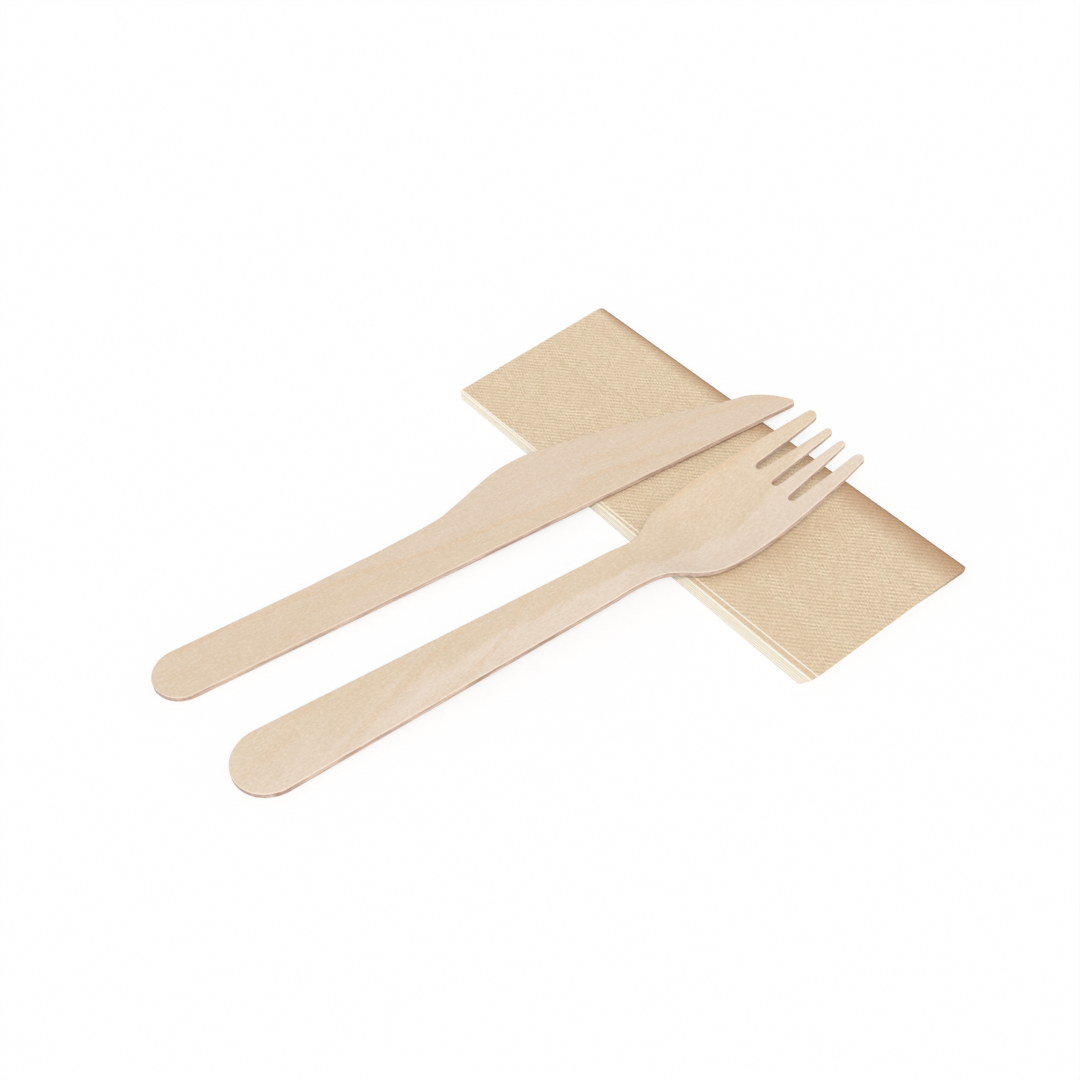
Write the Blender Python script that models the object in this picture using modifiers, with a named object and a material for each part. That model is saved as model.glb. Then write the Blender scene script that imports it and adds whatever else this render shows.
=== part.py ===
import math

import bmesh
import bpy
from mathutils import Matrix, Vector
from mathutils.geometry import interpolate_bezier

# Sizes in metres. +X runs from the handle ends to the napkin's folded edge, +Y along
# the napkin, and the origin is under the napkin's middle.

# Napkin: a square sheet folded in eight one way and in three the other
NAPKIN_SHEET = 0.375
NAPKIN_ACROSS_FOLDS = 8
NAPKIN_ALONG_FOLDS = 3
NAPKIN_WIDTH = NAPKIN_SHEET / NAPKIN_ACROSS_FOLDS
NAPKIN_LENGTH = NAPKIN_SHEET / NAPKIN_ALONG_FOLDS
NAPKIN_LEAVES = 5
LEAF_THICKNESS = 0.00035
LEAF_SLIT = 0.00006
LEAF_STEP = 0.00075
LEAF_SETBACK = 0.0025
NAPKIN_THICKNESS = NAPKIN_LEAVES * (LEAF_THICKNESS + LEAF_SLIT) - LEAF_SLIT
FOLD_DEPTH = 0.0022
FOLD_UNDERCUT = 0.0012
FOLD_NOSE = 0.0008
FOLD_STEPS = 8

# Both wooden pieces are cut from the same sheet of veneer
VENEER = 0.0016
EDGE_ROUND = 0.0002
SEAT_GAP = 0.0003

# Knife: its back is straight, its handle end is round. The handle widens slowly, then
# steeply, up to the blade: shares of the shoulder's run and of its rise
SHOULDER_SHAPE = ((0.0, 0.0), (0.16, 0.025), (0.32, 0.045), (0.42, 0.08), (0.53, 0.125), (0.63, 0.20),
                  (0.685, 0.32), (0.79, 0.575), (0.895, 0.84), (0.95, 0.94))
KNIFE_LENGTH = 0.16575
KNIFE_HANDLE_WIDTH = 0.0143
KNIFE_BLADE_WIDTH = 0.0222
KNIFE_SHOULDER_START = 0.040
KNIFE_SHOULDER_END = 0.097
KNIFE_BELLY_START = 0.1055
BELLY_POWER = 1.3
KNIFE_TIP_START = 0.1530
KNIFE_TIP_WIDTH = 0.0101
KNIFE_TIP_RADIUS = 0.0010
KNIFE_TIP_TURN = 33
TIP_TAPER = 1.7
TIP_FULLNESS = 0.65
TOOTH_START = 0.106
TOOTH_END = 0.152
TOOTH_PITCH = 0.0020
TOOTH_DEPTH = 0.00025
KNIFE_PLACE = (-0.1324, 0.02635)
KNIFE_YAW = math.radians(-9.24)

# Fork: symmetric, with a dished head and tines that turn up
FORK_LENGTH = 0.1572
FORK_END_WIDTH = 0.0180
FORK_NECK_WIDTH = 0.0122
FORK_NECK_AT = 0.0995
FORK_HEAD_WIDTH = 0.0265
FORK_HEAD_AT = 0.1265
OUTER_TIP_SIDE = 0.0089
OUTER_TIP_WIDTH = 0.0031
INNER_TIP_SIDE = 0.0025
INNER_TIP_WIDTH = 0.0021
INNER_TIP_BACK = 0.0003
TINE_THICKNESS = 0.0011
SLOT_SIDE = 0.0063
SLOT_WIDTH = 0.0020
SLOT_DEPTH = 0.0187
BOWL_START = 0.0950
BOWL_AT = 0.1170
BOWL_DIP = 0.0027
TIP_RISE = 0.0060
RISE_POWER = 1.27
DISH_START = 0.088
DISH_FULL_AT = 0.1135
NECK_DISH = 0.0003
BOWL_DISH = 0.0014
TIP_DISH = 0.0006
FORK_PLACE = (-0.1318, 0.0003)
FORK_YAW = math.radians(-8.09)

ARC_STEPS = 16
TIP_STEPS = 8
EDGE_POINTS = 6


def clearScene():
    for item in list(bpy.data.objects):
        bpy.data.objects.remove(item, do_unlink=True)


def makeCollection(name):
    made = bpy.data.collections.new(name)
    bpy.context.scene.collection.children.link(made)
    return made


def makeMaterial(name, color, roughness):
    material = bpy.data.materials.new(name)
    material.use_nodes = True
    shader = material.node_tree.nodes["Principled BSDF"]
    shader.inputs["Base Color"].default_value = (*color, 1.0)
    shader.inputs["Roughness"].default_value = roughness
    shader.inputs["Metallic"].default_value = 0.0
    return material


def arc(centre, radius, start, end, steps):
    # Points on an arc, both ends included; angles in degrees
    points = []
    for i in range(steps + 1):
        angle = math.radians(start + (end - start) * i / steps)
        points.append((centre[0] + radius * math.cos(angle), centre[1] + radius * math.sin(angle)))
    return points


def smooth(stations, pieces=EDGE_POINTS):
    # A smooth line through the stations, given as (along, across)
    knots = [Vector((a, b, 0.0)) for a, b in stations]
    points = []
    for i in range(len(knots) - 1):
        before = knots[max(i - 1, 0)]
        after = knots[min(i + 2, len(knots) - 1)]
        handleA = knots[i] + (knots[i + 1] - before) / 6
        handleB = knots[i + 1] - (after - knots[i]) / 6
        run = interpolate_bezier(knots[i], handleA, handleB, knots[i + 1], pieces + 1)
        points += [(p.x, p.y) for p in run[:-1]]
    points.append(stations[-1])
    return points


def across(points, along):
    # The line's height over its own axis, read at one place along it
    for (a, b), (c, d) in zip(points, points[1:]):
        if a <= along <= c:
            return b + (d - b) * (along - a) / max(c - a, 1e-9)
    return points[0][1] if along < points[0][0] else points[-1][1]


def ease(start, end, at):
    step = min(max((at - start) / (end - start), 0.0), 1.0)
    return step * step * (3 - 2 * step)


def filledMesh(name, outline, thickness):
    # A flat outline, filled on both sides and given its thickness, as a welded mesh
    curve = bpy.data.curves.new(name + "_outline", "CURVE")
    curve.dimensions = "2D"
    curve.fill_mode = "BOTH"
    curve.extrude = thickness / 2
    spline = curve.splines.new("POLY")
    spline.points.add(len(outline) - 1)
    for point, (a, b) in zip(spline.points, outline):
        point.co = (a, b, 0.0, 1.0)
    spline.use_cyclic_u = True
    holder = bpy.data.objects.new(name + "_outline", curve)
    bpy.context.scene.collection.objects.link(holder)
    bpy.context.view_layer.update()
    graph = bpy.context.evaluated_depsgraph_get()
    mesh = bpy.data.meshes.new_from_object(holder.evaluated_get(graph))
    mesh.name = name
    bpy.data.objects.remove(holder, do_unlink=True)
    bpy.data.curves.remove(curve)
    model = bmesh.new()
    model.from_mesh(mesh)
    bmesh.ops.remove_doubles(model, verts=model.verts, dist=1e-6)
    bmesh.ops.recalc_face_normals(model, faces=model.faces)
    model.to_mesh(mesh)
    model.free()
    return mesh


def addObject(name, mesh, material, collection):
    mesh.materials.clear()
    mesh.materials.append(material)
    made = bpy.data.objects.new(name, mesh)
    collection.objects.link(made)
    return made


def roundEdges(item):
    bevel = item.modifiers.new("edges", "BEVEL")
    bevel.width = EDGE_ROUND
    bevel.segments = 2
    bevel.limit_method = "ANGLE"
    bevel.angle_limit = math.radians(60)
    item.data.shade_smooth()
    item.data.set_sharp_from_angle(angle=math.radians(40))


# Napkin

def leafBottom(leaf):
    # Leaves count down from the top one
    return (NAPKIN_LEAVES - 1 - leaf) * (LEAF_THICKNESS + LEAF_SLIT)


def napkinSection():
    # Across the napkin, from its open edge (-) to its fold (+), and upwards
    openEdge = -NAPKIN_WIDTH / 2
    fold = NAPKIN_WIDTH / 2
    slitEnd = fold - FOLD_DEPTH
    section = []
    for leaf in range(NAPKIN_LEAVES):
        bottom = leafBottom(leaf)
        section += [(openEdge, bottom + LEAF_THICKNESS), (openEdge, bottom)]
        if leaf < NAPKIN_LEAVES - 1:
            section += [(slitEnd, bottom), (slitEnd, bottom - LEAF_SLIT)]
    for i in range(FOLD_STEPS + 1):
        turn = math.pi / 2 * i / FOLD_STEPS
        section.append((fold - FOLD_UNDERCUT * (1 - math.sin(turn)), FOLD_NOSE * (1 - math.cos(turn))))
    for i in range(1, FOLD_STEPS + 1):
        turn = math.pi / 2 * i / FOLD_STEPS
        rise = NAPKIN_THICKNESS - FOLD_NOSE
        section.append((fold - FOLD_DEPTH * (1 - math.cos(turn)), FOLD_NOSE + rise * math.sin(turn)))
    return section


def fanLeaves(mesh):
    # At the -Y end each lower leaf is shorter, the more so away from the fold, and reaches a
    # step further out of the open edge
    for vertex in mesh.vertices:
        if vertex.co.y < 0:
            fromFold = 0.5 - vertex.co.x / NAPKIN_WIDTH
            vertex.co.y += LEAF_SETBACK * fromFold * (1 - vertex.co.z / NAPKIN_THICKNESS)
        if vertex.co.y < 0 and vertex.co.x < -NAPKIN_WIDTH / 2 + LEAF_STEP / 2:
            below = NAPKIN_THICKNESS - vertex.co.z
            leaf = min(int(below / (LEAF_THICKNESS + LEAF_SLIT) + 0.1), NAPKIN_LEAVES - 1)
            vertex.co.x -= leaf * LEAF_STEP


def makeNapkin(collection, material):
    mesh = filledMesh("napkin", napkinSection(), NAPKIN_LENGTH)
    mesh.transform(Matrix.Rotation(math.radians(90), 4, "X"))
    fanLeaves(mesh)
    napkin = addObject("napkin", mesh, material, collection)
    napkin.data.shade_smooth()
    napkin.data.set_sharp_from_angle(angle=math.radians(30))
    return napkin


# Knife

def tipArc():
    # The tip's round end, from the back upwards
    centre = (KNIFE_LENGTH - KNIFE_TIP_RADIUS, KNIFE_TIP_RADIUS)
    return arc(centre, KNIFE_TIP_RADIUS, -90, KNIFE_TIP_TURN, TIP_STEPS)


def bladeEdge():
    handle = KNIFE_HANDLE_WIDTH
    blade = KNIFE_BLADE_WIDTH
    shoulder = KNIFE_SHOULDER_END - KNIFE_SHOULDER_START
    shape = [(KNIFE_SHOULDER_START - shoulder / 4, handle)]
    shape += [(KNIFE_SHOULDER_START + shoulder * along, handle + (blade - handle) * out)
              for along, out in SHOULDER_SHAPE]
    shape.append((KNIFE_SHOULDER_END, blade))
    belly = KNIFE_TIP_START - KNIFE_BELLY_START
    drop = blade - KNIFE_TIP_WIDTH
    for share in (0.0, 1 / 3, 2 / 3, 1.0):
        shape.append((KNIFE_BELLY_START + belly * share, blade - drop * share ** BELLY_POWER))
    # The tip is near a quarter of an oval, from the belly down to the back
    reach = KNIFE_LENGTH - KNIFE_TIP_START
    for share in (0.3, 0.56, 0.78, 0.9):
        fall = (1 - share ** TIP_TAPER) ** TIP_FULLNESS
        shape.append((KNIFE_TIP_START + reach * share, KNIFE_TIP_WIDTH * fall))
    shape.append(tipArc()[-1])
    return smooth(shape)


def cutTeeth(edge):
    # Fine serrations along the blade's belly
    teeth = [point for point in edge if point[0] < TOOTH_START]
    count = round((TOOTH_END - TOOTH_START) / TOOTH_PITCH)
    for tooth in range(count):
        start = TOOTH_START + tooth * TOOTH_PITCH
        teeth.append((start, across(edge, start)))
        middle = start + TOOTH_PITCH / 2
        teeth.append((middle, across(edge, middle) - TOOTH_DEPTH))
    return teeth + [point for point in edge if point[0] >= TOOTH_START + count * TOOTH_PITCH]


def knifeOutline():
    # Along the straight back, then back over the edge to the round handle end
    radius = KNIFE_HANDLE_WIDTH / 2
    outline = arc((radius, radius), radius, 90, 270, ARC_STEPS)
    return outline + tipArc() + cutTeeth(bladeEdge())[::-1][1:]


def makeKnife(collection, material):
    mesh = filledMesh("knife", knifeOutline(), VENEER)
    mesh.transform(Matrix.Translation((0, 0, VENEER / 2)))
    knife = addObject("knife", mesh, material, collection)
    roundEdges(knife)
    # The blade lies on the napkin's open edge, which its wide side meets first
    reach = -NAPKIN_WIDTH / 2 - KNIFE_PLACE[0] + KNIFE_BLADE_WIDTH * math.sin(KNIFE_YAW)
    seat = reach / math.cos(KNIFE_YAW)
    tilt = math.atan2(NAPKIN_THICKNESS + SEAT_GAP, seat)
    knife.rotation_euler = (0, -tilt, KNIFE_YAW)
    knife.location = (*KNIFE_PLACE, 0)
    return knife


# Fork

def forkEdge():
    # Half the width along the head's rim, from the neck to the outer tine
    neck = FORK_NECK_WIDTH / 2
    head = FORK_HEAD_WIDTH / 2
    tine = OUTER_TIP_SIDE + OUTER_TIP_WIDTH / 2
    span = FORK_HEAD_AT - FORK_NECK_AT
    shape = [(FORK_NECK_AT, neck)]
    shape += [(FORK_NECK_AT + span * along, neck + (head - neck) * out)
              for along, out in ((0.16, 0.03), (0.30, 0.28), (0.44, 0.64), (0.62, 0.88))]
    shape.append((FORK_HEAD_AT, head))
    rest = FORK_LENGTH - OUTER_TIP_WIDTH / 2 - FORK_HEAD_AT
    shape += [(FORK_HEAD_AT + rest * share, head - (head - tine) * share ** 1.5) for share in (0.4, 0.75)]
    shape.append((FORK_HEAD_AT + rest, tine))
    return smooth(shape)


def forkTines():
    # From the outer tine's tip on the +Y side to the middle slot: one side of the head
    outer = OUTER_TIP_WIDTH / 2
    inner = INNER_TIP_WIDTH / 2
    slot = SLOT_WIDTH / 2
    slotAt = FORK_LENGTH - SLOT_DEPTH + slot
    line = arc((FORK_LENGTH - outer, OUTER_TIP_SIDE), outer, 90, -90, TIP_STEPS)
    line += arc((slotAt, SLOT_SIDE), slot, 90, 270, TIP_STEPS)
    tipAt = FORK_LENGTH - INNER_TIP_BACK - inner
    line += arc((tipAt, INNER_TIP_SIDE), inner, 90, -90, TIP_STEPS)
    return line + arc((slotAt, 0), slot, 90, 180, TIP_STEPS // 2)


def forkOutline():
    edge = forkEdge()
    radius = FORK_END_WIDTH / 2
    half = arc((radius, 0), radius, 180, 90, ARC_STEPS // 2) + edge[:-1] + forkTines()
    return half + [(a, -b) for a, b in half[-2:0:-1]]


def forkHeight(edge, along, side):
    # Over the flat handle: the head dips into a bowl, then the tines turn up
    centre = -BOWL_DIP * ease(BOWL_START, BOWL_AT, along)
    if along > BOWL_AT:
        share = (along - BOWL_AT) / (FORK_LENGTH - BOWL_AT)
        centre += (BOWL_DIP + TIP_RISE) * share ** RISE_POWER
    dish = NECK_DISH * ease(DISH_START, FORK_NECK_AT, along)
    dish += (BOWL_DISH - NECK_DISH) * ease(FORK_NECK_AT, DISH_FULL_AT, along)
    dish += (TIP_DISH - BOWL_DISH) * ease(FORK_HEAD_AT, FORK_LENGTH, along)
    return centre + dish * (side / across(edge, along)) ** 2


def cutGrid(model):
    # Cross lines that let the flat blank bend
    lines = [(BOWL_START - DISH_START) * i / 3 + DISH_START for i in range(4)]
    lines += [BOWL_START + (FORK_LENGTH - BOWL_START) * i / 34 for i in range(1, 34)]
    for along in lines:
        geometry = model.verts[:] + model.edges[:] + model.faces[:]
        bmesh.ops.bisect_plane(model, geom=geometry, plane_co=(along, 0, 0), plane_no=(1, 0, 0))
    for i in range(-5, 6):
        side = FORK_HEAD_WIDTH / 2 * i / 6
        geometry = model.verts[:] + model.edges[:] + model.faces[:]
        bmesh.ops.bisect_plane(model, geom=geometry, plane_co=(0, side, 0), plane_no=(0, 1, 0))


def makeFork(collection, material):
    mesh = filledMesh("fork", forkOutline(), 0.0)
    edge = forkEdge()
    model = bmesh.new()
    model.from_mesh(mesh)
    bmesh.ops.dissolve_limit(model, angle_limit=0.01, verts=model.verts, edges=model.edges)
    cutGrid(model)
    bmesh.ops.triangulate(model, faces=[face for face in model.faces if len(face.verts) > 4])
    for vertex in model.verts:
        vertex.co.z = VENEER + forkHeight(edge, vertex.co.x, vertex.co.y)
    # The veneer under the upper face is pressed thinner towards the tines' tips
    lower = bmesh.ops.extrude_face_region(model, geom=model.faces[:])
    for vertex in [item for item in lower["geom"] if isinstance(item, bmesh.types.BMVert)]:
        thinner = (VENEER - TINE_THICKNESS) * ease(FORK_LENGTH - SLOT_DEPTH, FORK_LENGTH, vertex.co.x)
        vertex.co.z -= VENEER - thinner
    bmesh.ops.recalc_face_normals(model, faces=model.faces)
    model.to_mesh(mesh)
    model.free()
    fork = addObject("fork", mesh, material, collection)
    roundEdges(fork)
    # The bowl's underside lies on the napkin, just inside its open edge
    reach = (-NAPKIN_WIDTH / 2 - FORK_PLACE[0]) / math.cos(FORK_YAW)
    steps = [reach + (FORK_LENGTH - reach) * i / 60 for i in range(61)]
    tilt = max(math.atan2(NAPKIN_THICKNESS + SEAT_GAP - forkHeight(edge, at, 0), at) for at in steps)
    fork.rotation_euler = (0, -tilt, FORK_YAW)
    fork.location = (*FORK_PLACE, 0)
    return fork


def main():
    clearScene()
    collection = makeCollection("cutlery_set")
    birch = makeMaterial("birch_veneer", (0.78, 0.66, 0.51), 0.62)
    paper = makeMaterial("kraft_paper", (0.72, 0.60, 0.42), 0.90)
    makeNapkin(collection, paper)
    makeKnife(collection, birch)
    makeFork(collection, birch)


main()
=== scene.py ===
import math

import bmesh
import bpy
from mathutils import Matrix, Vector, noise
from mathutils.geometry import interpolate_bezier
from mathutils.kdtree import KDTree


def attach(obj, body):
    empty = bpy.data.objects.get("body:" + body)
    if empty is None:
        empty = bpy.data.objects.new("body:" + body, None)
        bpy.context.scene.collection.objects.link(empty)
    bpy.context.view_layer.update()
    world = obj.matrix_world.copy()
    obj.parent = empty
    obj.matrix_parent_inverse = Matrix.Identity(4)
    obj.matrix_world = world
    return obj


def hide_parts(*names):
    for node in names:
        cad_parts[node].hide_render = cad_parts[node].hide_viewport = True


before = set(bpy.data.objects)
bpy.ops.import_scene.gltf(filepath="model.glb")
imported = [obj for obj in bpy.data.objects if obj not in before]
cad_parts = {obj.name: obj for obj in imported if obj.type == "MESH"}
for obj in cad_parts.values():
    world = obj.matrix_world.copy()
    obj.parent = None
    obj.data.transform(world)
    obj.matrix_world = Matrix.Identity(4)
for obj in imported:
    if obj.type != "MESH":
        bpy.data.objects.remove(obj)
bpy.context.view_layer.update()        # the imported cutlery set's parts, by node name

mm = 0.001

# Everything is in metres, as in the frame: +X runs from the handle ends to the napkin's
# folded edge, +Y along the napkin, and the origin is under the napkin's middle.

view = {
    "place": (-0.2107, -0.2348, 0.3157),
    "lookAt": (-0.0404, 0.0106, 0.0),
    "roll": -6.06,        # degrees
    "lens": 62.5,         # mm, with a sensor as wide as this
    "sensor": 36.0,
    "nearest": 0.01,
}

light = {
    "sky": 0.60,          # even light from all round
    "sun": 1.60,
    "sunColor": (1.0, 0.99, 0.975),
    "sunFrom": (-0.42, -0.60, 1.0),
    "sunAngle": 14.0,     # degrees, the wider the softer
    "backdrop": 1.0,
    "floorGrey": 0.97,
    "floorRoughness": 0.9,
    "floorWhite": 0.72,   # share of the floor that is plain white to the camera
    "floorReach": 3.0,
    "floorDrop": 0.00005,
}


# Shader nodes written as sums

class Wire:
    # Wraps a node's output socket; a sum on values adds its Math node
    def __init__(self, socket):
        self.socket = socket
        self.tree = socket.id_data

    def math(self, operation, first, second, clamp=False):
        settings = {"operation": operation, "use_clamp": clamp}
        return addNode(self.tree, "ShaderNodeMath", settings, {0: first, 1: second})

    def __add__(self, other):
        return self.math("ADD", self, other)

    def __radd__(self, other):
        return self.math("ADD", other, self)

    def __sub__(self, other):
        return self.math("SUBTRACT", self, other)

    def __rsub__(self, other):
        return self.math("SUBTRACT", other, self)

    def __mul__(self, other):
        return self.math("MULTIPLY", self, other)

    def __rmul__(self, other):
        return self.math("MULTIPLY", other, self)

    def __truediv__(self, other):
        return self.math("DIVIDE", self, other)

    def __pow__(self, other):
        return self.math("POWER", self, other)

    def clamped(self):
        return self.math("ADD", self, 0.0, clamp=True)


def addNode(tree, kind, settings=None, values=None, output=0):
    node = tree.nodes.new(kind)
    for name, value in (settings or {}).items():
        setattr(node, name, value)
    for socket, value in (values or {}).items():
        if isinstance(value, Wire):
            tree.links.new(value.socket, node.inputs[socket])
        else:
            node.inputs[socket].default_value = value
    return Wire(node.outputs[output])


def newFinish(name):
    material = bpy.data.materials.new(name)
    material.use_nodes = True
    return material, material.node_tree, material.node_tree.nodes["Principled BSDF"]


def feed(tree, shader, values):
    for name, value in values.items():
        if isinstance(value, Wire):
            tree.links.new(value.socket, shader.inputs[name])
        else:
            shader.inputs[name].default_value = value


def linear(red, green, blue):
    # A colour read as 0-255 in sRGB, given as the renderer's linear one
    def one(value):
        share = value / 255
        return share / 12.92 if share <= 0.04045 else ((share + 0.055) / 1.055) ** 2.4
    return (one(red), one(green), one(blue), 1.0)


def mixColors(tree, share, first, second):
    settings = {"data_type": "RGBA", "clamp_factor": True}
    return addNode(tree, "ShaderNodeMix", settings, {0: share, 6: first, 7: second}, output=2)


def tinted(tree, color, share, tone):
    # The colour, moved by a share towards a tone given in sRGB
    return mixColors(tree, share, color, linear(*tone))


def scaled(tree, vector, scale, location=(0, 0, 0), rotation=(0, 0, 0)):
    values = {"Vector": vector, "Location": location, "Rotation": rotation, "Scale": scale}
    return addNode(tree, "ShaderNodeMapping", {"vector_type": "POINT"}, values)


def noiseOf(tree, vector, detail, roughness, distortion=0.0):
    values = {"Vector": vector, "Scale": 1.0, "Detail": detail, "Roughness": roughness,
              "Distortion": distortion}
    return addNode(tree, "ShaderNodeTexNoise", {"noise_dimensions": "3D"}, values)


def attribute(tree, name):
    return addNode(tree, "ShaderNodeAttribute", {"attribute_name": name}, output=2)


def above(source, level, gain):
    # 0 up to the level, then rising by the gain to 1; a negative gain turns it round
    return ((source - level) * gain).clamped()


def stained(tree, color, sources, tints, tones):
    for kind, level, gain, tone, share in tints:
        color = tinted(tree, color, above(sources[kind], level, gain) * share, tones[tone])
    return color


def seenDirectly(tree):
    # 1 for the camera's own rays and for those that a gloss or a pane sends on
    rays = tree.nodes.new("ShaderNodeLightPath")
    seen = Wire(rays.outputs["Is Camera Ray"])
    for name in ("Is Glossy Ray", "Is Transmission Ray"):
        seen = (seen + Wire(rays.outputs[name])).clamped()
    return seen


# Lines and outlines

def ease(start, end, at):
    step = min(max((at - start) / (end - start), 0.0), 1.0)
    return step * step * (3 - 2 * step)


def arc(centre, radius, start, end, steps):
    points = []
    for i in range(steps + 1):
        angle = math.radians(start + (end - start) * i / steps)
        points.append((centre[0] + radius * math.cos(angle), centre[1] + radius * math.sin(angle)))
    return points


def smoothLine(stations, pieces=24):
    # A smooth line through the stations, given as (along, across)
    knots = [Vector((a, b, 0.0)) for a, b in stations]
    points = []
    for i in range(len(knots) - 1):
        before = knots[max(i - 1, 0)]
        after = knots[min(i + 2, len(knots) - 1)]
        handleA = knots[i] + (knots[i + 1] - before) / 6
        handleB = knots[i + 1] - (after - knots[i]) / 6
        run = interpolate_bezier(knots[i], handleA, handleB, knots[i + 1], pieces + 1)
        points += [(p.x, p.y) for p in run[:-1]]
    points.append(stations[-1])
    return points


def across(points, along):
    for (a, b), (c, d) in zip(points, points[1:]):
        if a <= along <= c:
            return b + (d - b) * (along - a) / max(c - a, 1e-9)
    return points[0][1] if along < points[0][0] else points[-1][1]


def spaced(outline, step):
    # The closed outline again, with points a step apart
    closed = [Vector(p) for p in outline] + [Vector(outline[0])]
    reach = [0.0]
    for a, b in zip(closed, closed[1:]):
        reach.append(reach[-1] + (b - a).length)
    count = round(reach[-1] / step)
    points = []
    place = 0
    for i in range(count):
        at = reach[-1] * i / count
        while reach[place + 1] < at:
            place += 1
        share = (at - reach[place]) / max(reach[place + 1] - reach[place], 1e-12)
        points.append(closed[place].lerp(closed[place + 1], share))
    return points


def outwards(points):
    # The outline's unit normals, away from the wood
    turning = sum(a.cross(b) for a, b in zip(points, points[1:] + points[:1]))
    side = 1 if turning > 0 else -1
    count = len(points)
    normals = []
    for i in range(count):
        run = points[(i + 1) % count] - points[i - 1]
        normals.append(Vector((run.y, -run.x)).normalized() * side)
    return normals


def newPiece(name, mesh, finish):
    mesh.materials.append(finish)
    made = bpy.data.objects.new(name, mesh)
    bpy.context.scene.collection.objects.link(made)
    print(name + ":", len(mesh.polygons), "faces")
    return made


# Wooden pieces: a stamped and tumbled blank of veneer

veneer = {
    "thickness": 0.0016,
    "seatGap": 0.0003,
    "edgeRound": 0.00028,
    "edgeSupport": 0.00010,
    "edgeSteps": 3,
    "outlineStep": 0.00035,
    "gridStep": 0.0007,
    "gridSnap": 0.12,         # share of a grid step in which a cut keeps to a vertex
    "tumble": 0.00007,        # how far tumbling has worn the outline back
    "tumbleScale": 320.0,
    "wallHollow": 0.00004,
    "edgeHighlightFrom": 0.30,         # shares of the rounded edge, seen from above, where the painted highlight and the cut wall start
    "cutFrom": 0.95,
}


def edgeRings():
    # From the upper face over the rounded edge and down the wall: (outwards, share, down)
    bevel, support, steps = veneer["edgeRound"], veneer["edgeSupport"], veneer["edgeSteps"]
    upper = []
    for i in range(steps + 1):
        turn = math.pi / 2 * i / steps
        upper.append((support + bevel * math.sin(turn), 0.0, bevel * (1 - math.cos(turn))))
    wall = (support + bevel - veneer["wallHollow"], 0.5, 0.0)
    lower = [(out, 1.0, -down) for out, _, down in upper[::-1]]
    return upper + [wall] + lower


def gridFace(points, step):
    # The face inside the outline, cut by a square grid so that it can bend
    model = bmesh.new()
    model.faces.new([model.verts.new((p.x, p.y, 0.0)) for p in points])
    for axis in (0, 1):
        low = min(p[axis] for p in points)
        high = max(p[axis] for p in points)
        count = math.ceil((high - low) / step)
        for i in range(1, count):
            place, normal = [0, 0, 0], [0, 0, 0]
            place[axis] = low + (high - low) * i / count
            normal[axis] = 1
            everything = model.verts[:] + model.edges[:] + model.faces[:]
            bmesh.ops.bisect_plane(model, geom=everything, dist=step * veneer["gridSnap"],
                                   plane_co=place, plane_no=normal)
    bmesh.ops.triangulate(model, faces=[face for face in model.faces if len(face.verts) > 4])
    model.normal_update()
    if sum(face.normal.z * face.calc_area() for face in model.faces) < 0:
        bmesh.ops.reverse_faces(model, faces=model.faces)
    return model


def rimNormals(rim, inner, normals):
    # Which way is out of the wood at each vertex of the face's rim
    nearest = KDTree(len(inner))
    for i, point in enumerate(inner):
        nearest.insert((point.x, point.y, 0.0), i)
    nearest.balance()
    away = {}
    for vertex in dict.fromkeys(vertex for edge in rim for vertex in edge.verts):
        total = Vector((0.0, 0.0))
        for _, i, distance in nearest.find_n(vertex.co, 2):
            total += normals[i] / (distance + 1e-6)
        away[vertex] = total.normalized().to_3d()
    return away


def markRings(model, growthRings):
    # On each vertex, its distance across the grain from each growth ring, in mm
    for i, ring in enumerate(growthRings):
        line = smoothLine(ring["line"], 6)
        layer = model.verts.layers.float.new("ring" + str(i))
        for vertex in model.verts:
            vertex[layer] = vertex.co.y / mm - across(line, vertex.co.x / mm)


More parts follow.
